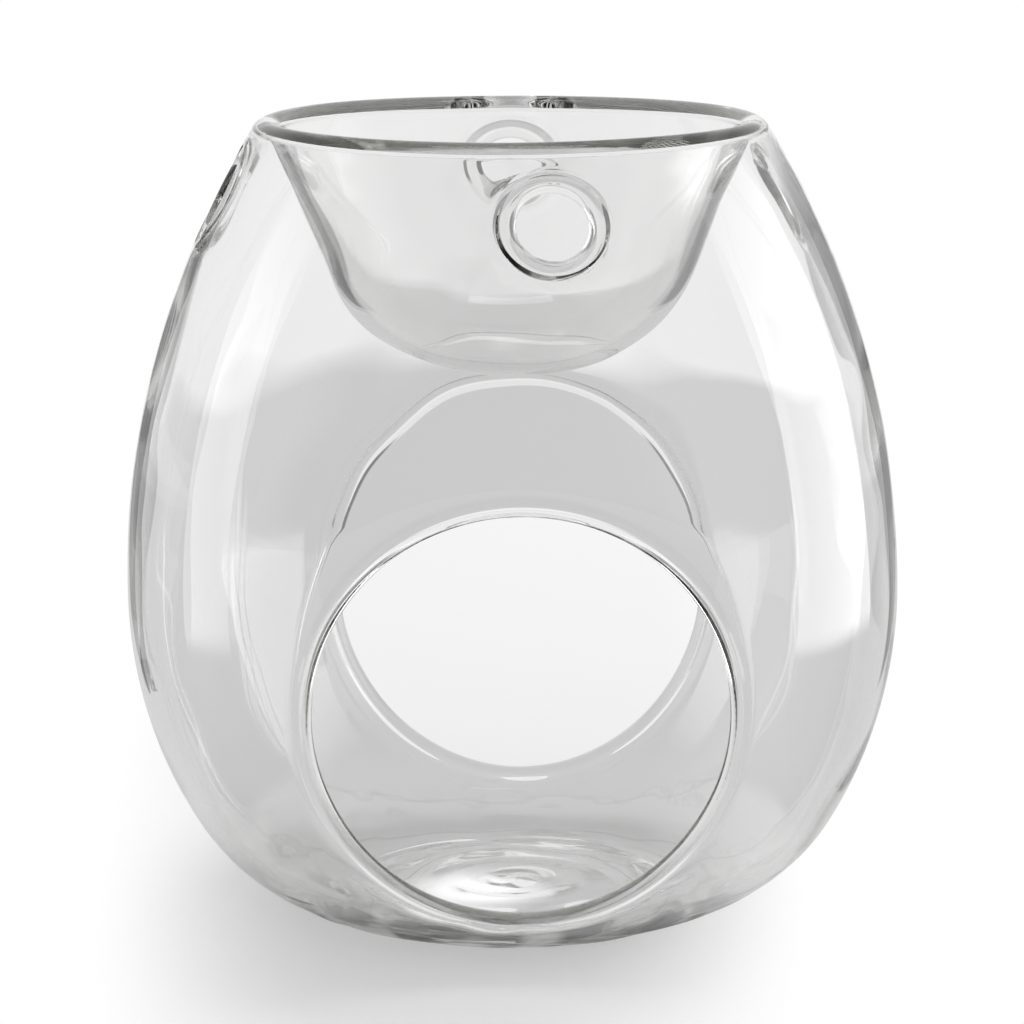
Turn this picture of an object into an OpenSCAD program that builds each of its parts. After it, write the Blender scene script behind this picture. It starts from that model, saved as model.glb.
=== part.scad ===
// Wax melt warmer, blown and lamp-worked from clear borosilicate glass.
// An egg-shaped body stands on a flat heel. At the rim its wall folds over and hangs
// down inside as the melt bowl. The front faces -Y, Z is up, and the origin is the
// middle of the face that rests on the table.

/* [Body] */
// Width across the belly
body_d = 120; // [110:1:130]
// Height from the table to the top of the rim
body_h = 123.5; // [120:0.5:127]
// Height of the widest part of the belly
belly_z = 50.5; // [48:0.5:53]
// Radius of the long curve from the belly up to the rim
shoulder_r = 136; // [130:1:150]
// Radius of the curve just below the belly
belly_r = 69; // [66:1:72]
// Radius of the curve that turns in under the body
foot_r = 32; // [29:1:35]
// Diameter of the flat face that rests on the table
foot_flat_d = 57; // [52:1:60]
// Thickness of the body wall
wall = 2; // [1.6:0.1:2.4]

/* [Heel] */
// Thickness of the flat heel under the body
heel_t = 2.6; // [2.3:0.1:3.2]
// Height of the ripples that the punty left in the floor
ripple_h = 0.4; // [0.2:0.05:0.6]
// Distance from one ripple to the next
ripple_pitch = 10; // [8:0.5:12]
// Number of ripples round the middle of the floor
ripples = 2; // [1:1:3]

/* [Rim and bowl] */
// Radius of the rounded top of the rim
rim_r = 2.3; // [2:0.1:2.6]
// Depth of the fused rim, from its top to where body and bowl part
rim_h = 3.8; // [3.4:0.1:5]
// Radius of the hollow's rounded peak under the rim
peak_r = 0.7; // [0.5:0.05:0.8]
// Thickness of the bowl wall
bowl_t = 1.8; // [1.5:0.1:2.1]
// Depth of the bowl, from the top of the rim to its underside
bowl_depth = 39.5; // [36:0.5:42]
// Slope of the bowl's side, from upright
bowl_slope = 22; // [19:1:25]
// Radius of the curve between the bowl's side and its floor
bowl_corner_r = 24; // [21:1:26]
// Radius of the bowl's dished floor
bowl_floor_r = 48; // [44:1:56]

/* [Mouths] */
// Clear width of the front and rear mouths
mouth_d = 62; // [54:0.5:63]
// Height of the lower edge of the mouths above the table
mouth_sill = 9.5; // [8.5:0.25:12]
// Width of the fire-polished bead round a mouth
bead_w = 1.6; // [1.2:0.1:2]
// Height that a bead stands out of each face of the wall
bead_h = 0.3; // [0.1:0.05:0.5]

/* [Vents] */
// Clear width of a vent
vent_d = 10.7; // [9:0.1:12]
// Width of the turned-in lip round a vent
vent_lip_d = 17.6; // [16.5:0.1:18.5]
// Distance of the middle of the vents below the top of the rim
vent_drop = 12; // [11:0.5:15]
// Depth of a lip's rounded edge below the face of the wall
vent_sink = 0.45; // [0.35:0.05:0.6]
// Turn of the front vent round the body, from straight ahead
front_turn = 8; // [-12:1:12]
// Turn of the right vent, from its quarter
right_turn = 6; // [-12:1:12]
// Turn of the rear vent, from its quarter
rear_turn = 0; // [-12:1:12]
// Turn of the left vent, from its quarter
left_turn = 5; // [-12:1:12]

/* [Hidden] */
$fn = 96;
glass = [0.86, 0.9, 0.92, 0.45];
lip_glass = [0.74, 0.82, 0.86, 0.6];
heel_glass = [0.8, 0.86, 0.88, 0.55];
reach = body_d + body_h;

// Straight pieces that each curve of the half section is drawn with
foot_steps = 7;
belly_steps = 4;
shoulder_steps = 12;
bowl_steps = 6;
rim_steps = 5;
ripple_steps = 8;

// Heights that hang from the rim
seam_z = body_h - rim_h;
bowl_z = body_h - bowl_depth;
vent_z = body_h - vent_drop;

// Centres of the three curves of the body, each tangent to the next
shoulder_c = [body_d / 2 - shoulder_r, belly_z];
belly_c = [body_d / 2 - belly_r, belly_z];
foot_c = crossing(belly_c, belly_r - foot_r, [foot_flat_d / 2, 0], foot_r);
foot_a = bearing(foot_c - belly_c);
flat_a = bearing([foot_flat_d / 2, 0] - foot_c);
floor_a = -asin((foot_c[1] - heel_t) / (foot_r - wall));

// The rim's round top touches the body's outer curve and the bowl's inner side
rim_c = on_shoulder(body_h - rim_r, rim_r);
rim_a = bearing(rim_c - shoulder_c);
uphill = [sin(bowl_slope), cos(bowl_slope)];
inward = [-cos(bowl_slope), sin(bowl_slope)];
inner_side = rim_c + rim_r * inward;
outer_side = inner_side - bowl_t * inward;

// The bowl's corner curve touches its side and its floor
floor_c = [0, bowl_z + bowl_floor_r];
corner_c = along(outer_side + bowl_corner_r * inward, uphill, floor_c, bowl_floor_r - bowl_corner_r, -1);
corner_a = bearing(corner_c - floor_c);

// The hollow's peak touches the body's inner curve and the bowl's outer side
peak_c = along(outer_side - peak_r * inward, uphill, shoulder_c, shoulder_r - wall - peak_r, 1);
peak_a = bearing(peak_c - shoulder_c);

// Where the pieces meet
divide_r = (on_shoulder(seam_z, wall)[0] + outer_side[0]) / 2;
mouth_seat_d = mouth_d + 2 * bead_w;
mouth_z = mouth_sill + mouth_d / 2;

// A vent's middle lies on the outer face and its axis stands square to the wall
vent_c = on_shoulder(vent_z, 0);
vent_tilt = bearing(vent_c - shoulder_c);
vent_turns = [front_turn, 90 + right_turn, 180 + rear_turn, 270 + left_turn];
vent_bead_r = (vent_lip_d - vent_d) / 4;
vent_bead_x = (vent_lip_d + vent_d) / 4;
// Drop of the wall's face across a lip, sideways, where the wall curves most
vent_sag = pow(vent_lip_d / 2, 2) * cos(vent_tilt) / (2 * vent_c[0]);

// Direction of a vector, in degrees
function bearing(v) = atan2(v[1], v[0]);

// Points of an arc about c, from angle a to angle b
function arc(c, r, a, b, steps) = [for (i = [0:steps]) let (t = a + (b - a) * i / steps) c + r * [cos(t), sin(t)]];

// Point of the shoulder curve at height z, set in from the outer face
function on_shoulder(z, inset) = [shoulder_c[0] + sqrt(pow(shoulder_r - inset, 2) - pow(z - belly_z, 2)), z];

// Point at distance d from q on the line through p along v: the near one (-1) or the far one (1)
function along(p, v, q, d, end) = let (e = p - q, ev = e * v) p + v * (end * sqrt(ev * ev - e * e + d * d) - ev);

// Crossing of the circles p, r and q, s on the side where the foot curve lies
function crossing(p, r, q, s) =
    let (w = q - p, d = norm(w), a = (r * r - s * s + d * d) / (2 * d), h = sqrt(r * r - a * a))
    p + w * a / d + [-w[1], w[0]] * h / d;

// Body wall from the foot up to the rim, set in from the outer face
function wall_curve(inset, start, finish) = concat(
    arc(foot_c, foot_r - inset, start, foot_a, foot_steps),
    arc(belly_c, belly_r - inset, foot_a, 0, belly_steps),
    arc(shoulder_c, shoulder_r - inset, 0, finish, shoulder_steps));

// Bowl from its side down to the middle of its floor, set in from the underside
function bowl_curve(inset) = concat(
    arc(corner_c, bowl_corner_r - inset, -bowl_slope, corner_a, bowl_steps),
    arc(floor_c, bowl_floor_r - inset, corner_a, -90, bowl_steps));

// Floor of the body from the middle to the foot of the last ripple
function rippled_floor() = [for (i = [0:(ripples - 0.25) * ripple_steps]) let (t = i / ripple_steps)
    [t * ripple_pitch, heel_t + ripple_h / 2 * cos(360 * t)]];

// Half section of the glass: all inside its outer faces, less the hollow of the body
module glass_section() difference() {
    polygon(concat([[0, 0]], wall_curve(0, flat_a, rim_a), arc(rim_c, rim_r, rim_a, 180 - bowl_slope, rim_steps),
        bowl_curve(bowl_t)));
    polygon(concat(wall_curve(wall, floor_a, peak_a), arc(peak_c, peak_r, peak_a, 180 - bowl_slope, rim_steps),
        bowl_curve(0), rippled_floor()));
}

// Part of the glass between two heights and two radii
module band(z0, z1, r0, r1) intersection() {
    glass_section();
    translate([r0, z0]) square([r1 - r0, z1 - z0]);
}

// Half section of the body wall, thicker by the height of a bead on each face
module beaded_section() intersection() {
    difference() {
        polygon(concat([[0, 0]], wall_curve(-bead_h, flat_a, rim_a), [[0, body_h]]));
        polygon(concat([[0, 0]], wall_curve(wall + bead_h, floor_a, rim_a), [[0, body_h]]));
    }
    translate([0, heel_t]) square([reach, seam_z - heel_t]);
}

// Round bar along Y through one mouth, the front one (-1) or the rear one (1)
module mouth_bar(end, d) translate([0, end * reach / 2, mouth_z]) rotate([90, 0, 0])
    cylinder(d = d, h = reach, center = true);

// Places a vent's parts with their own Z square to the wall, pointing out
module at_vent(turn) rotate([0, 0, turn]) translate([0, -vent_c[0], vent_c[1]]) rotate([90 - vent_tilt, 0, 0])
    children();

module vent_seats() for (turn = vent_turns) at_vent(turn)
    cylinder(d = vent_lip_d, h = 2 * vent_lip_d, center = true);

module outer_shell() color(glass) difference() {
    rotate_extrude() difference() {
        band(heel_t, seam_z, ripples * ripple_pitch, reach);
        translate([0, bowl_z - bowl_t]) square([divide_r, bowl_depth]);
    }
    for (end = [-1, 1]) mouth_bar(end, mouth_seat_d);
    vent_seats();
}

module heel_base() color(heel_glass) rotate_extrude() {
    band(0, heel_t, 0, reach);
    band(heel_t, heel_t + ripple_h, 0, ripples * ripple_pitch);
}

module rim_seal() color(glass) difference() {
    rotate_extrude() band(seam_z, body_h + rim_h, 0, reach);
    vent_seats();
}

module melt_bowl() color(glass) rotate_extrude() band(bowl_z - bowl_t, seam_z, 0, divide_r);

module mouth_lip(end) color(lip_glass) intersection() {
    rotate_extrude() beaded_section();
    difference() {
        mouth_bar(end, mouth_seat_d);
        mouth_bar(end, mouth_d);
    }
}

module vent_lip(turn) color(lip_glass) at_vent(turn) rotate_extrude() {
    translate([vent_bead_x, -vent_sink - vent_bead_r]) circle(r = vent_bead_r);
    translate([vent_bead_x, -vent_sag - wall]) square([vent_lip_d / 2 - vent_bead_x, wall]);
}

outer_shell();
heel_base();
rim_seal();
melt_bowl();
mouth_lip(-1);  // front_mouth_lip
mouth_lip(1);  // rear_mouth_lip
vent_lip(vent_turns[0]);  // front_vent_lip
vent_lip(vent_turns[1]);  // right_vent_lip
vent_lip(vent_turns[2]);  // rear_vent_lip
vent_lip(vent_turns[3]);  // left_vent_lip
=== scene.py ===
import math

import bmesh
import bpy
import numpy as np
from mathutils import Matrix, Vector, noise
from mathutils.kdtree import KDTree


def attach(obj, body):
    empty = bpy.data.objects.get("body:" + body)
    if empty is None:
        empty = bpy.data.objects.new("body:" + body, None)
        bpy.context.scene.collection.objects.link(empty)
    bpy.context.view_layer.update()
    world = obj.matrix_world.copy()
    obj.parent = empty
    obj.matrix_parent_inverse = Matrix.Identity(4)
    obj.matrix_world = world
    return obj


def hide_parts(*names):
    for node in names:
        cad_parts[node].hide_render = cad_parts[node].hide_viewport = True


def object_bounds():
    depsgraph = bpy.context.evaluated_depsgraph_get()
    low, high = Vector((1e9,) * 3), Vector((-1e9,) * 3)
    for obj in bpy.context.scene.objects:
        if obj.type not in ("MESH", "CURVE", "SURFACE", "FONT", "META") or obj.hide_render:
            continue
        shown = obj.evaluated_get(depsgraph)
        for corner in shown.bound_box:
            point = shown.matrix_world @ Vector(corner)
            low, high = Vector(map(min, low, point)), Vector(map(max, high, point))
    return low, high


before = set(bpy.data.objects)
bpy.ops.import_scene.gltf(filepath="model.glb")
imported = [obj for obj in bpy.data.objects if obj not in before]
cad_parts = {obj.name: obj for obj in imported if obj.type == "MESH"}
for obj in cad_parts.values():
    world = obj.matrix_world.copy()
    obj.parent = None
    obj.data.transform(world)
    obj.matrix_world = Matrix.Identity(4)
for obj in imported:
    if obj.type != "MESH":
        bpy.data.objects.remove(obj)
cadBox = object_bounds()
print("frame loaded")

# Glass wall, in millimetres. Turns are degrees round the body from the front towards the right.
body = {
    "width": 120,
    "height": 123.5,
    "bellyHeight": 50.5,
    "shoulderRadius": 136,
    "bellyRadius": 69,
    "footRadius": 32,
    "flatWidth": 57,
    "flatRise": (0.35, 0.2),  # hollow of the flat face, in the middle and near its edge
    "flatRim": 3,  # width of the ring that it stands on
    "flatRound": 1.2,
    "wall": 2,
    "columns": 256,  # mesh columns round the body
    "mesh": 1.5,  # widest row of the mesh
    "margin": 0.03,  # kept free inside the solids' box
}
heel = {
    "thickness": 2.6,
    "fillet": 3.5,
    "rippleHeight": 0.25,
    "ripplePitch": 8,
    "ripples": 3.6,
    "swirl": 0.35,  # height of the twist that the punty left in the middle
    "swirlWidth": 6,
    "streaks": 0.3,  # height of the drawn streaks round the foot
    "streakSize": (11, 2.2),  # their length and width
    "streakTop": 11,
}
blown = {
    "wave": 0.22,  # slow wander of the whole wall
    "waveLength": 42,
    "ripple": 0.07,  # change of thickness
    "rippleLength": 13,
    "calmTop": 121,  # height above which the thickness stays nearly even
    "calmOver": 8,
    "calmShare": 0.15,
    "seed": 3,
}
bowl = {
    "rimRadius": 2.3,
    "peakRadius": 0.7,
    "wall": 1.8,
    "depth": 39.5,
    "slope": 22,
    "cornerRadius": 24,
    "floorRadius": 48,
}
mouth = {
    "width": 61,
    "heights": (62.4, 63.6),  # front, rear
    "aside": 1.1,  # towards the right, as in the photo
    "sill": 9.5,
    "round": 1.7,  # width of the rounding on each face of the wall
    "bead": 0.4,  # height of the fire-polished bead above each face
    "seat": 2.7,  # from the edge to the even wall
    "block": (25, 22),  # half size of the gap in the mesh, columns and rows
    "rings": 9,  # mesh rings round the gap
    "steps": (6, 3),  # over each half of the bead, and down to the wall
}
vent = {
    "width": 10.7,
    "drop": 10.9,
    "beadRadius": 1.62,
    "seat": 1.95,  # from the middle of the bead to the even wall
    "sink": 2.12,  # middle of the bead below the outer face
    "block": (8, 8),
    "rings": 5,
    "beadTurns": (70, 290),  # part of the bead's round section that shows
    "steps": (14, 5),  # round the bead, and from it to the wall
    "turns": (8, 96, 180, 275),
}


def bearing(v):
    return math.atan2(v[1], v[0])


def arc(centre, radius, start, end, step=0.05):
    count = max(int(abs(end - start) * radius / step), 3)
    angles = np.linspace(start, end, count + 1)
    return np.column_stack((centre[0] + radius * np.cos(angles), centre[1] + radius * np.sin(angles)))


def line(start, end, step=0.05):
    count = max(int(math.dist(start, end) / step), 2)
    return np.linspace(start, end, count + 1)


def along(start, way, centre, distance, side):
    gap = np.subtract(start, centre)
    across = gap @ way
    return start + way * (side * math.sqrt(across**2 - gap @ gap + distance**2) - across)


def runs(curve):
    return np.r_[0, np.cumsum(np.linalg.norm(np.diff(curve, axis=0), axis=1))]


def soften(curve, corner, width):
    # Rounds the curve off near a corner by averaging over a window that narrows away from it
    run = runs(curve)
    near = np.abs(run - run[int(np.argmin(np.linalg.norm(curve - corner, axis=1)))])
    soft = curve.copy()
    for i in np.nonzero(near < 2 * width)[0]:
        reach = width * max(1 - near[i] / (2 * width), 0.01)
        soft[i] = curve[np.abs(run - run[i]) <= reach].mean(axis=0)
    return soft


# Curves of the half section, radius and height. Each is tangent to the next.
shoulderMid = np.array([body["width"] / 2 - body["shoulderRadius"], body["bellyHeight"]])
bellyMid = np.array([body["width"] / 2 - body["bellyRadius"], body["bellyHeight"]])
flatEdge = np.array([body["flatWidth"] / 2, 0.0])
gap = flatEdge - bellyMid
span = np.linalg.norm(gap)
inner = body["bellyRadius"] - body["footRadius"]
share = (inner**2 - body["footRadius"] ** 2 + span**2) / (2 * span)
sideways = np.array([-gap[1], gap[0]])
footMid = bellyMid + gap * share / span + sideways * math.sqrt(inner**2 - share**2) / span
footTurn = bearing(footMid - bellyMid)
flatTurn = bearing(flatEdge - footMid)

rimHeight = body["height"] - bowl["rimRadius"]
rimRun = math.sqrt((body["shoulderRadius"] - bowl["rimRadius"]) ** 2 - (rimHeight - shoulderMid[1]) ** 2)
rimMid = np.array([shoulderMid[0] + rimRun, rimHeight])
slope = math.radians(bowl["slope"])
uphill = np.array([math.sin(slope), math.cos(slope)])
inward = np.array([-math.cos(slope), math.sin(slope)])
innerSide = rimMid + bowl["rimRadius"] * inward
outerSide = innerSide - bowl["wall"] * inward
floorMid = np.array([0.0, body["height"] - bowl["depth"] + bowl["floorRadius"]])
cornerMid = along(
    outerSide + bowl["cornerRadius"] * inward,
    uphill,
    floorMid,
    bowl["floorRadius"] - bowl["cornerRadius"],
    -1,
)
cornerTurn = bearing(cornerMid - floorMid)
peakMid = along(
    outerSide - bowl["peakRadius"] * inward,
    uphill,
    shoulderMid,
    body["shoulderRadius"] - body["wall"] - bowl["peakRadius"],
    1,
)


def wallCurve(inset, start, end):
    return [
        arc(footMid, body["footRadius"] - inset, start, footTurn),
        arc(bellyMid, body["bellyRadius"] - inset, footTurn, 0),
        arc(shoulderMid, body["shoulderRadius"] - inset, 0, end),
    ]


def bowlCurve(inset):
    return [
        arc(cornerMid, bowl["cornerRadius"] - inset, -slope, cornerTurn),
        arc(floorMid, bowl["floorRadius"] - inset, cornerTurn, -math.pi / 2),
    ]


def joined(parts):
    curve = np.concatenate(parts)
    keep = np.r_[True, np.linalg.norm(np.diff(curve, axis=0), axis=1) > 0.01]
    return curve[keep]


def evened(curve, step=0.05):
    run = runs(curve)
    places = np.linspace(0, run[-1], int(run[-1] / step))
    return np.column_stack([np.interp(places, run, curve[:, i]) for i in (0, 1)])


# Skin: all that can be touched from outside and above. Hollow: the faces of the chamber.
underside = line((0, body["flatRise"][0]), (flatEdge[0] - body["flatRim"], body["flatRise"][1]))
skinCurve = joined(
    [underside, line(underside[-1], flatEdge)]
    + wallCurve(0, flatTurn, bearing(rimMid - shoulderMid))
    + [
        arc(rimMid, bowl["rimRadius"], bearing(rimMid - shoulderMid), math.pi - slope),
        line(innerSide, cornerMid + (bowl["cornerRadius"] - bowl["wall"]) * -inward),
    ]
    + bowlCurve(bowl["wall"])
)
skinCurve = evened(skinCurve)
skinCurve = soften(skinCurve, flatEdge, body["flatRound"])

rippleRuns = np.arange(0, heel["ripples"] * heel["ripplePitch"], 0.05)
fade = np.clip((rippleRuns[-1] - rippleRuns) / heel["ripplePitch"], 0, 1)
rippleWaves = heel["rippleHeight"] / 2 * fade * np.cos(rippleRuns * 2 * math.pi / heel["ripplePitch"])
ripples = np.column_stack((rippleRuns, heel["thickness"] + rippleWaves))
floorTurn = -math.asin((footMid[1] - heel["thickness"]) / (body["footRadius"] - body["wall"]))
floorWay = np.array([math.cos(floorTurn), math.sin(floorTurn)])
floorEdge = footMid + (body["footRadius"] - body["wall"]) * floorWay
hollowCurve = joined(
    [ripples, line(ripples[-1], floorEdge)]
    + wallCurve(body["wall"], floorTurn, bearing(peakMid - shoulderMid))
    + [
        arc(peakMid, bowl["peakRadius"], bearing(peakMid - shoulderMid), math.pi - slope),
        line(peakMid + bowl["peakRadius"] * inward, cornerMid - bowl["cornerRadius"] * inward),
    ]
    + bowlCurve(0)
)
hollowCurve = evened(hollowCurve)
hollowCurve = soften(hollowCurve, floorEdge, heel["fillet"])


class Side:
    # One side of the glass wall. A place on it is a run along its curve and a turn round the body.
    def __init__(self, curve):
        self.curve = curve
        self.run = runs(curve)
        low = int(np.argmax(curve[:, 0] > body["flatWidth"] / 2 + 2))
        top = int(np.argmax(curve[:, 1]))
        self.wallHeights, self.wallRuns = curve[low:top, 1], self.run[low:top]

    def runAt(self, height):
        return float(np.interp(height, self.wallHeights, self.wallRuns))

    def radius(self, run):
        return float(np.interp(run, self.run, self.curve[:, 0]))

    def at(self, run, turn):
        r = self.radius(run)
        height = float(np.interp(run, self.run, self.curve[:, 1]))
        return Vector((r * math.sin(turn), -r * math.cos(turn), height))

    def makeRows(self, spans):
        # Rows of the mesh, closer together where the curve bends more, a set number of them in each span
        ways = np.gradient(self.curve, axis=0)
        angles = np.unwrap(np.arctan2(ways[:, 1], ways[:, 0]))
        turn = np.abs(np.gradient(angles)) / np.linalg.norm(ways, axis=1)
        turn = np.convolve(np.pad(turn, 20, mode="edge"), np.ones(41) / 41, mode="valid")
        step = np.clip(0.2 / np.maximum(turn, 1e-6), 0.2, body["mesh"])
        count = np.r_[0, np.cumsum(np.diff(self.run) / step[1:])]
        rows = [0.0]
        for start, end, number in (*spans, (self.run[-1], None, 0)):
            first, last = np.interp([rows[-1], start], self.run, count)
            steps = max(int(round(last - first)), 1)
            places = np.linspace(first, last, steps + 1)[1:]
            rows += [float(np.interp(c, count, self.run)) for c in places]
            if number:
                rows += list(np.linspace(start, end, number + 1)[1:])
        self.rows = np.array(rows)
        self.spots = np.column_stack([np.interp(self.rows, self.run, self.curve[:, i]) for i in (0, 1)])
        self.tree = KDTree(len(self.spots))
        for i, (r, z) in enumerate(self.spots):
            self.tree.insert((r, 0, z), i)
        self.tree.balance()


skin, hollow = Side(skinCurve), Side(hollowCurve)


class Mouth:
    kind = mouth

    def __init__(self, end, high):
        self.end = end
        self.high = high
        self.column = body["columns"] // 2 if end > 0 else 0

    def spot(self, side, angle, distance):
        # Run and turn of a place that far outside the clear edge, seen along Y
        x = mouth["aside"] - self.end * (mouth["width"] / 2 + distance) * math.cos(angle)
        z = mouth["sill"] + self.high / 2 + (self.high / 2 + distance) * math.sin(angle)
        run = side.runAt(z)
        turn = math.asin(x / side.radius(run))
        return run, (math.pi - turn if self.end > 0 else turn)

    def ring(self, side, angle):
        return self.spot(side, angle, mouth["seat"])

    def section(self, angle):
        # Places over the rounded edge, from the outer face to the inner one
        ends, shoulders, corners = [], [], []
        for side in (skin, hollow):
            edge, out = (side.at(*self.spot(side, angle, d)) for d in (0, mouth["seat"]))
            away = (out - edge).normalized()
            beside = side.at(*self.spot(side, angle + 0.02, 0)) - side.at(*self.spot(side, angle - 0.02, 0))
            n = away.cross(beside).normalized()
            if n.dot(Vector((edge.x, edge.y, 0))) * (1 if side is skin else -1) < 0:
                n.negate()
            ends.append(out)
            corners.append(edge + n * mouth["bead"])
            shoulders.append(corners[-1] + away * mouth["round"])
        middle = (corners[0] + corners[1]) / 2
        ways = [(a - b).normalized() for a, b in zip(corners, shoulders)]
        over, down = mouth["steps"]
        out = blend(ends[0], ways[0], shoulders[0], ways[0], down) + [shoulders[0]]
        out += bend(shoulders[0], corners[0], middle, over) + bend(middle, corners[1], shoulders[1], over)
        return [ends[0]] + out + blend(shoulders[1], -ways[1], ends[1], -ways[1], down) + [ends[1]]


class Vent:
    kind = vent

    def __init__(self, turn):
        self.turn = math.radians(turn)
        self.column = round(turn / 360 * body["columns"])
        height = body["height"] - vent["drop"]
        self.runs = {skin: skin.runAt(height)}
        self.middle = skin.at(self.runs[skin], self.turn)
        self.right = Vector((math.cos(self.turn), math.sin(self.turn), 0))
        above, below = (skin.at(self.runs[skin] + d, self.turn) for d in (0.5, -0.5))
        self.up = (above - below).normalized()
        self.n = self.right.cross(self.up)
        self.runs[hollow] = hollow.runAt(height - body["wall"] * self.n.z)

    def spot(self, side, angle, distance):
        run = self.runs[side] + distance * math.sin(angle)
        return run, self.turn + distance * math.cos(angle) / side.radius(run)

    def ring(self, side, angle):
        return self.spot(side, angle, vent["width"] / 2 + vent["beadRadius"] + vent["seat"])

    def section(self, angle):
        # Places round the bead of the turned-in lip, from the outer face to the inner one
        far = vent["width"] / 2 + vent["beadRadius"] + vent["seat"]
        away = self.right * math.cos(angle) + self.up * math.sin(angle)
        bead = self.middle + away * (far - vent["seat"]) - self.n * vent["sink"]
        turns = np.linspace(*(math.radians(t) for t in vent["beadTurns"]), vent["steps"][0])
        lip = [bead + vent["beadRadius"] * (away * math.cos(t) + self.n * math.sin(t)) for t in turns]
        ends = [side.at(*self.spot(side, angle, far)) for side in (skin, hollow)]
        ways = []
        for side in (skin, hollow):
            near, out = (side.at(*self.spot(side, angle, far + d)) for d in (-0.2, 0.2))
            ways.append((out - near).normalized())
        first, last = (self.n * math.cos(t) - away * math.sin(t) for t in (turns[0], turns[-1]))
        out = blend(ends[0], -ways[0], lip[0], first, vent["steps"][1]) + lip
        return [ends[0]] + out + blend(lip[-1], last, ends[1], ways[1], vent["steps"][1]) + [ends[1]]


def blend(p, pWay, q, qWay, steps):
    # Places between p and q on a curve that leaves p along pWay and reaches q along qWay
    pull = (q - p).length
    out = []
    for i in range(1, steps):
        t = i / steps
        out.append(
            p * (2 * t**3 - 3 * t**2 + 1)
            + pWay * pull * (t**3 - 2 * t**2 + t)
            + q * (3 * t**2 - 2 * t**3)
            + qWay * pull * (t**3 - t**2)
        )
    return out


def bend(start, corner, end, steps):
    # Places on the round way from start to end inside a corner
    shares = [i / steps for i in range(1, steps + 1)]
    return [start * (1 - t) ** 2 + corner * 2 * t * (1 - t) + end * t**2 for t in shares]


openings = [Mouth(end, high) for end, high in zip((-1, 1), mouth["heights"])]
openings += [Vent(turn) for turn in vent["turns"]]
for side in (skin, hollow):
    spans = []
    for opening in (openings[0], openings[2]):
        low, top = (opening.ring(side, angle)[0] for angle in (-math.pi / 2, math.pi / 2))
        spans.append((low, top, 2 * opening.kind["block"][1]))
    side.makeRows(spans)
print("curves", len(skin.rows), "rows outside,", len(hollow.rows), "rows inside")


def lathe(bm, side):
    # Spins the curve's rows into one side of the wall and returns its vertices by column and row
    made = [bm.verts.new((0, -r, z)) for r, z in side.spots]
    edges = [bm.edges.new(pair) for pair in zip(made, made[1:])]
    columns, wedge = body["columns"], 16
    angle = 2 * math.pi * wedge / columns
    bmesh.ops.spin(bm, geom=made + edges, cent=(0, 0, 0), axis=(0, 0, 1), angle=angle, steps=wedge)
    while wedge < columns:
        copy = bmesh.ops.duplicate(bm, geom=bm.verts[:] + bm.edges[:] + bm.faces[:])["geom"]
        copied = [v for v in copy if isinstance(v, bmesh.types.BMVert)]
        turn = Matrix.Rotation(2 * math.pi * wedge / columns, 3, "Z")
        bmesh.ops.rotate(bm, cent=(0, 0, 0), matrix=turn, verts=copied)
        wedge *= 2
    bmesh.ops.remove_doubles(bm, verts=bm.verts[:], dist=0.002)
    grid = {}
    for v in bm.verts:
        row = side.tree.find((math.hypot(v.co.x, v.co.y), 0, v.co.z))[1]
        column = round(math.atan2(v.co.x, -v.co.y) / (2 * math.pi) * columns) % columns
        grid[v] = (column, row)
    return grid


def ringAngle(du, dv, wide, high):
    # Angle of a place on a square ring, its corners at 45 degrees
    if abs(dv) == high and abs(du) <= wide:
        return math.radians(90 - 45 * du / wide) if dv > 0 else math.radians(-90 + 45 * du / wide)
    return math.radians(45 * dv / high) if du > 0 else math.radians(180 - 45 * dv / high)


def openUp(bm, side, grid):
    # Takes the mesh out of each opening and draws the mesh round it towards the opening's edge
    doomed = set()
    columns = body["columns"]
    for opening in openings:
        wide, high = opening.kind["block"]
        reach = opening.kind["rings"]
        low, top = (opening.ring(side, angle)[0] for angle in (-math.pi / 2, math.pi / 2))
        row = int(np.argmin(np.abs(side.rows - low))) + high
        inside = set()
        for v, (c, r) in grid.items():
            du = (c - opening.column + columns // 2) % columns - columns // 2
            dv = r - row
            level = max(abs(du) - wide, abs(dv) - high)
            if level <= 0:
                inside.add(v)
            if 0 <= level < reach:
                run, turn = opening.ring(side, ringAngle(du, dv, wide + level, high + level))
                edgeRow = row + dv * high / (high + level)
                edgeTurn = (opening.column + du * wide / (wide + level)) * 2 * math.pi / columns
                share = (1 - level / reach) ** 2
                run = side.rows[r] + (run - np.interp(edgeRow, range(len(side.rows)), side.rows)) * share
                away = (turn - edgeTurn + math.pi) % (2 * math.pi) - math.pi
                v.co = side.at(run, c * 2 * math.pi / columns + away * share)
        doomed |= {f for v in inside for f in v.link_faces if all(w in inside for w in f.verts)}
    bmesh.ops.delete(bm, geom=[f for f in bm.faces if f in doomed], context="FACES")


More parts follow.
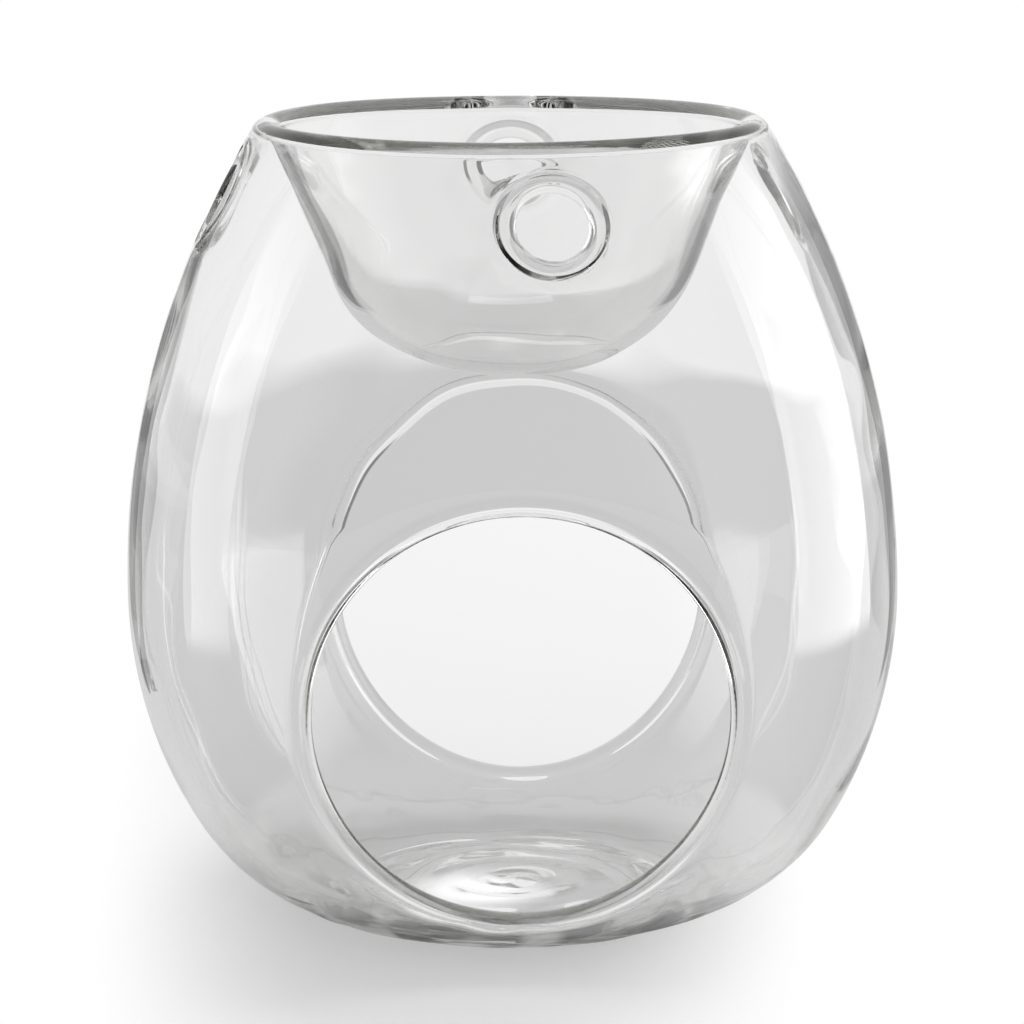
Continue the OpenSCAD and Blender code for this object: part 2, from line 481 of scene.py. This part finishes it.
def edgeBead(bm, opening):
    # Rolls one opening's edge over its bead, from the outer face to the inner one
    wide, high = opening.kind["block"]
    ring = [(du, high) for du in range(-wide, wide)] + [(wide, dv) for dv in range(high, -high, -1)]
    angles = [ringAngle(du, dv, wide, high) for du, dv in ring + [(-du, -dv) for du, dv in ring]]
    sections = [opening.section(angle) for angle in angles]
    loop = bmesh.ops.create_circle(bm, segments=len(angles), radius=1)["verts"]
    edges = list(dict.fromkeys(e for v in loop for e in v.link_edges))
    for v, section in zip(loop, sections):
        v.co = section[0]
    for step in range(1, len(sections[0])):
        grown = bmesh.ops.extrude_edge_only(bm, edges=edges)["geom"]
        fresh = {g for g in grown if isinstance(g, bmesh.types.BMVert)}
        edges = [g for g in grown if isinstance(g, bmesh.types.BMEdge) and set(g.verts) <= fresh]
        sources = {e.other_vert(v): v for v in fresh for e in v.link_edges if e.other_vert(v) not in fresh}
        loop = [sources[v] for v in loop]
        for v, section in zip(loop, sections):
            v.co = section[step]


def glassMesh():
    whole = bmesh.new()
    scratch = bpy.data.meshes.new("scratch")
    for part in (skin, hollow, *openings):
        bm = bmesh.new()
        if isinstance(part, Side):
            grid = lathe(bm, part)
            openUp(bm, part, grid)
        else:
            edgeBead(bm, part)
        bm.to_mesh(scratch)
        bm.free()
        whole.from_mesh(scratch)
    bpy.data.meshes.remove(scratch)
    bmesh.ops.remove_doubles(whole, verts=whole.verts[:], dist=0.0005)
    bmesh.ops.recalc_face_normals(whole, faces=whole.faces[:])
    return whole


def handBlown(bm):
    # Wander of the wall, change of its thickness, streaks round the foot and the swirl in the heel
    noise.seed_set(blown["seed"])
    bm.normal_update()
    moves = []
    for v in bm.verts:
        p, n = v.co, v.normal
        r = math.hypot(p.x, p.y)
        calm = min(max((blown["calmTop"] - p.z) / blown["calmOver"], blown["calmShare"]), 1)
        move = noise.noise_vector(p / blown["waveLength"]) * blown["wave"]
        move += n * noise.noise(p / blown["rippleLength"] + Vector((7, 3, 5))) * blown["ripple"] * calm
        foot = min(max((heel["streakTop"] - p.z) / 6, 0), 1)
        if foot and r > 18:
            length, width = heel["streakSize"]
            place = Vector((math.atan2(p.x, p.y) * r / length, p.z / width, r / width))
            move += n * noise.noise(place) * heel["streaks"] * foot
        if r < 2 * heel["swirlWidth"] and p.z < 10 and n.z > 0:
            twist = math.sin(math.atan2(p.y, p.x) + r * 1.1) * math.exp(-((r / heel["swirlWidth"]) ** 2))
            move.z += heel["swirl"] * twist * min(r / 1.5, 1)
        moves.append(move)
    for v, move in zip(bm.verts, moves):
        v.co += move
    # Kept inside the solids' box
    high = np.array(cadBox[1]) * 1000
    spots = np.array([v.co for v in bm.verts])
    wide = np.abs(spots).max(axis=0)
    high -= body["margin"]
    scale = [min(1, high[i] / wide[i]) for i in (0, 1)]
    bottom, top = spots[:, 2].min(), spots[:, 2].max()
    for v in bm.verts:
        v.co.x *= scale[0]
        v.co.y *= scale[1]
        v.co.z = (v.co.z - bottom) * high[2] / (top - bottom)


bm = glassMesh()
handBlown(bm)
gaps = sum(not e.is_manifold for e in bm.edges)
print("glass", len(bm.verts), "vertices", len(bm.faces), "faces", gaps, "open edges")
bmesh.ops.scale(bm, vec=(0.001, 0.001, 0.001), verts=bm.verts[:])
mesh = bpy.data.meshes.new("glass_body")
bm.to_mesh(mesh)
bm.free()
for face in mesh.polygons:
    face.use_smooth = True
glassBody = bpy.data.objects.new("glass_body", mesh)
bpy.context.scene.collection.objects.link(glassBody)


def node(tree, kind, links=(), **settings):
    # Adds a shader node: settings are its properties or input values, links join inputs to sockets
    made = tree.nodes.new(kind)
    for name, value in settings.items():
        if hasattr(made, name):
            setattr(made, name, value)
        else:
            made.inputs[name.replace("_", " ")].default_value = value
    for name, socket in dict(links).items():
        tree.links.new(socket, made.inputs[name])
    return made


def linear(code):
    parts = [int(code[i : i + 2], 16) / 255 for i in (0, 2, 4)]
    return [c / 12.92 if c <= 0.04045 else ((c + 0.055) / 1.055) ** 2.4 for c in parts] + [1]


def newMaterial(name):
    material = bpy.data.materials.new(name)
    material.use_nodes = True
    material.node_tree.nodes.clear()
    return material, material.node_tree


def mapRange(tree, value, source, target=(0, 1), smooth=False):
    # Goes over from one target to the other while the value goes over its source; a target may be a socket
    made = node(tree, "ShaderNodeMapRange", {"Value": value})
    made.interpolation_type = "SMOOTHSTEP" if smooth else "LINEAR"
    for name, entry in zip(("From Min", "From Max", "To Min", "To Max"), (*source, *target)):
        if isinstance(entry, bpy.types.NodeSocket):
            tree.links.new(entry, made.inputs[name])
        else:
            made.inputs[name].default_value = entry
    return made.outputs[0]


def maths(tree, operation, first, second):
    return node(tree, "ShaderNodeMath", {0: first, 1: second}, operation=operation).outputs[0]


def mixed(tree, share, first, second):
    # Shader that goes over from the first to the second as the share rises to 1
    return node(tree, "ShaderNodeMixShader", {0: share, 1: first.outputs[0], 2: second.outputs[0]})


def borosilicateGlass():
    # Clear, polished by the flame, with a trace of grey in its depth. Its shadow is a light one.
    material, tree = newMaterial("borosilicate glass")
    glass = node(
        tree,
        "ShaderNodeBsdfPrincipled",
        Base_Color=linear("ffffff"),
        Roughness=0.0,
        IOR=1.47,
        Transmission_Weight=1.0,
    )
    clear = node(tree, "ShaderNodeBsdfTransparent", Color=(0.82, 0.82, 0.82, 1))
    path = node(tree, "ShaderNodeLightPath")
    mix = mixed(tree, path.outputs["Is Shadow Ray"], glass, clear)
    tint = node(tree, "ShaderNodeVolumeAbsorption", Color=linear("b5b6b0"), Density=20.0)
    node(tree, "ShaderNodeOutputMaterial", {"Surface": mix.outputs[0], "Volume": tint.outputs[0]})
    return material


mesh.materials.append(borosilicateGlass())
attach(glassBody, "root")
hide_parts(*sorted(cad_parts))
print("glass body ready")

# Studio, in metres. A shade of 1 is white.
studio = {
    "table": 0.66,  # table as the glass shows it
    "front": 0.8,  # the same in front of the object
    "frontFade": (-0.02, -0.06),  # where the one goes over to the other
    "backdrop": 0.9,
    "tableEdge": (0.53, 0.59),  # where the table goes over to the backdrop
    "seen": 0.95,  # floor as the camera sees it
    "level": 1.06,  # light on the floor beyond the object's shadow
    "lit": (0.075, 0.13),  # distances between which the shadow goes over to that
    "litMiddle": (0.019, -0.064, 0),
    "litScale": (1.9, 0.25, 1),
    "paintedShadowRadii": (0.022, 0.042),  # radii between which the painted shadow of the foot darkens the table
    # shade of that painted shadow
    "paintedShadowShade": 0.3,
    "paintedShadowFade": (-0.02, -0.012),  # the painted shadow lies in front alone
    "paintedShadowBreaks": (120, 0.38, 0.7),  # scale and range of the noise that breaks the painted shadow up
    "spot": (-0.006, -0.003, 0.0145),  # middle and radius of the painted pool of light under the heel, in place of the light that the glass gathers there
    # brightness of that painted pool of light
    "paintedCausticLight": 1.2,
    "room": 0.22,  # unlit room round and behind the camera
    "roomFade": (0.1, 0.8),
    "fill": 0.5,  # plain light from all sides
}
# Upright panels beside the object: start, end, height, shade, and the fades at their top and bottom
cards = {
    "left card": ((-0.11, 0.08), (-0.18, 0.5), 0.16, 0.2, 0.05, 0.001),
    "right card": ((0.11, 0.08), (0.18, 0.5), 0.16, 0.3, 0.05, 0.001),
    "left softbox": ((-0.2, -0.04), (-0.2, 0.03), 0.26, 2.15, 0.16, 0.015),
    "right softbox": ((0.2, -0.035), (0.2, 0.1), 0.26, 2.7, 0.16, 0.015),
}


def floorMaterial():
    # Matt white table with the object's shadow, which fades out into even white
    material, tree = newMaterial("pale floor")
    path = node(tree, "ShaderNodeLightPath")
    place = node(tree, "ShaderNodeNewGeometry").outputs["Position"]
    y = node(tree, "ShaderNodeSeparateXYZ", {0: place}).outputs["Y"]
    back = mapRange(tree, y, studio["tableEdge"], (studio["table"], studio["backdrop"]))
    front = mapRange(tree, y, studio["frontFade"], (back, studio["front"]))
    # Painted contact shadow: a dark crescent in front, where the round foot comes down to the table, as the
    # glass shows it
    middle = node(tree, "ShaderNodeVectorMath", {0: place}, operation="LENGTH").outputs["Value"]
    ring = node(tree, "ShaderNodeValToRGB", {"Fac": mapRange(tree, middle, studio["paintedShadowRadii"])})
    for at in (0.3, 0.6):
        ring.color_ramp.elements.new(at).color = (*[studio["paintedShadowShade"]] * 3, 1)
    ring.color_ramp.elements[0].color = (1, 1, 1, 1)
    scale, low, high = studio["paintedShadowBreaks"]
    paintedShadowBreaks = node(tree, "ShaderNodeTexNoise", {"Vector": place}, Scale=scale, Detail=0).outputs["Fac"]
    behind = mapRange(tree, y, studio["paintedShadowFade"], smooth=True)
    bare = maths(tree, "MAXIMUM", behind, mapRange(tree, paintedShadowBreaks, (low, high), smooth=True))
    tableWithPaintedShadow = maths(tree, "MULTIPLY", front, maths(tree, "MAXIMUM", ring.outputs["Color"], bare))
    seen = node(tree, "ShaderNodeMix", {0: path.outputs["Is Camera Ray"], 2: tableWithPaintedShadow}, data_type="FLOAT")
    seen.inputs[3].default_value = studio["seen"]
    shaded = node(tree, "ShaderNodeBsdfDiffuse", {"Color": seen.outputs[0]})
    even = node(tree, "ShaderNodeEmission", {"Color": seen.outputs[0]}, Strength=studio["level"])
    near = node(tree, "ShaderNodeMapping", {"Vector": place})
    near.inputs["Location"].default_value = studio["litMiddle"]
    near.inputs["Scale"].default_value = studio["litScale"]
    away = node(tree, "ShaderNodeVectorMath", {0: near.outputs[0]}, operation="LENGTH").outputs["Value"]
    shown = mixed(tree, mapRange(tree, away, studio["lit"], smooth=True), shaded, even)
    # Painted pool of light on the table under its heel, in place of the light that the glass gathers there
    *centre, radius = studio["spot"]
    spot = node(tree, "ShaderNodeVectorMath", {0: place}, operation="DISTANCE")
    spot.inputs[1].default_value = (*centre, 0)
    lens = mapRange(tree, spot.outputs["Value"], (radius, 0.003), smooth=True)
    paintedCaustic = node(tree, "ShaderNodeEmission", Color=(1, 1, 1, 1), Strength=studio["paintedCausticLight"])
    lit = mixed(tree, lens, shown, paintedCaustic)
    node(tree, "ShaderNodeOutputMaterial", {"Surface": lit.outputs[0]})
    return material


def plainObject(name, bm, material):
    made = bpy.data.meshes.new(name)
    bm.to_mesh(made)
    bm.free()
    made.materials.append(material)
    thing = bpy.data.objects.new(name, made)
    bpy.context.scene.collection.objects.link(thing)
    return thing


def makeFloor():
    bm = bmesh.new()
    bmesh.ops.create_grid(bm, x_segments=1, y_segments=1, size=6)
    plainObject("floor", bm, floorMaterial())


def makeCard(name, start, end, height, shade, topFade, bottomFade):
    # Only the glass shows it. It fades out towards its ends.
    material, tree = newMaterial(name)
    place = node(tree, "ShaderNodeNewGeometry")
    z = node(tree, "ShaderNodeSeparateXYZ", {0: place.outputs["Position"]}).outputs["Z"]
    top = mapRange(tree, z, (height - topFade, height), smooth=True)
    bottom = mapRange(tree, z, (bottomFade, 0), smooth=True)
    glow = node(tree, "ShaderNodeEmission", Color=(1, 1, 1, 1), Strength=shade)
    clear = node(tree, "ShaderNodeBsdfTransparent", Color=(1, 1, 1, 1))
    mix = mixed(tree, maths(tree, "MAXIMUM", top, bottom), glow, clear)
    node(tree, "ShaderNodeOutputMaterial", {"Surface": mix.outputs[0]})
    bm = bmesh.new()
    foot = [bm.verts.new((*p, 0.001)) for p in (start, end)]
    grown = bmesh.ops.extrude_edge_only(bm, edges=[bm.edges.new(foot)])["geom"]
    for v in grown:
        if isinstance(v, bmesh.types.BMVert):
            v.co.z = height
    card = plainObject(name, bm, material)
    card.visible_camera = card.visible_shadow = card.visible_diffuse = False


makeFloor()
for name, settings in cards.items():
    makeCard(name, *settings)


def studioWorld():
    # White for the camera, plain light for matt surfaces, and a bright backdrop in a dim room for the glass
    world = bpy.data.worlds.new("studio")
    bpy.context.scene.world = world
    world.use_nodes = True
    tree = world.node_tree
    tree.nodes.clear()
    path = node(tree, "ShaderNodeLightPath")
    way = node(tree, "ShaderNodeTexCoord")
    parts = node(tree, "ShaderNodeSeparateXYZ", {0: way.outputs["Generated"]})
    links = {0: parts.outputs["Z"], 2: parts.outputs["Y"]}
    lifted = node(tree, "ShaderNodeMath", links, operation="MULTIPLY_ADD")
    lifted.inputs[1].default_value = 0.8
    shades = (studio["room"], studio["backdrop"])
    behind = mapRange(tree, lifted.outputs[0], studio["roomFade"], shades, smooth=True)
    white = node(tree, "ShaderNodeMix", {0: path.outputs["Is Camera Ray"], 2: behind}, data_type="FLOAT")
    white.inputs[3].default_value = 1.0
    links = {0: path.outputs["Is Diffuse Ray"], 2: white.outputs[0]}
    level = node(tree, "ShaderNodeMix", links, data_type="FLOAT")
    level.inputs[3].default_value = studio["fill"]
    back = node(tree, "ShaderNodeBackground", {"Color": level.outputs[0]})
    node(tree, "ShaderNodeOutputWorld", {"Surface": back.outputs[0]})


studioWorld()


def softbox(name, place, aim, size, radiance, shown=False):
    # Area light that faces a spot; its power follows from how bright its face looks
    light = bpy.data.lights.new(name, "AREA")
    light.shape = "RECTANGLE"
    light.size, light.size_y = size
    light.energy = radiance * math.pi * size[0] * size[1]
    lamp = bpy.data.objects.new(name, light)
    lamp.location = place
    lamp.rotation_euler = (Vector(aim) - lamp.location).to_track_quat("-Z", "Y").to_euler()
    lamp.visible_transmission = False
    lamp.visible_glossy, lamp.visible_diffuse = shown, not shown
    bpy.context.scene.collection.objects.link(lamp)


softbox("top softbox", (0.25, 0.45, 1.15), (0, 0, 0), (0.9, 0.9), 3.1)
softbox("overhead strip", (0, 0.05, 0.9), (0, 0, 0), (0.5, 0.12), 2.5, True)

# Camera at the photo's angle: its place, pitch and roll, and its focal length in pixels of a 1024 picture
view = {"place": (-0.00007, -0.645, 0.1847), "pitch": 10.79, "roll": 0.30, "focal": 4213}
camera = bpy.data.objects.new("camera", bpy.data.cameras.new("camera"))
scene = bpy.context.scene
scene.collection.objects.link(camera)
camera.data.sensor_width = 36
camera.data.lens = view["focal"] / 1024 * 36
camera.data.clip_start = 0.01
camera.location = view["place"]
camera.rotation_mode = "ZYX"
camera.rotation_euler = (math.radians(90) - math.radians(view["pitch"]), 0, -math.radians(view["roll"]))
scene.camera = camera
scene.view_settings.view_transform = "Standard"
# Light goes round inside the rim and the heel many times before it comes out
scene.cycles.max_bounces = scene.cycles.transmission_bounces = scene.cycles.glossy_bounces = 160
scene.cycles.transparent_max_bounces = 24
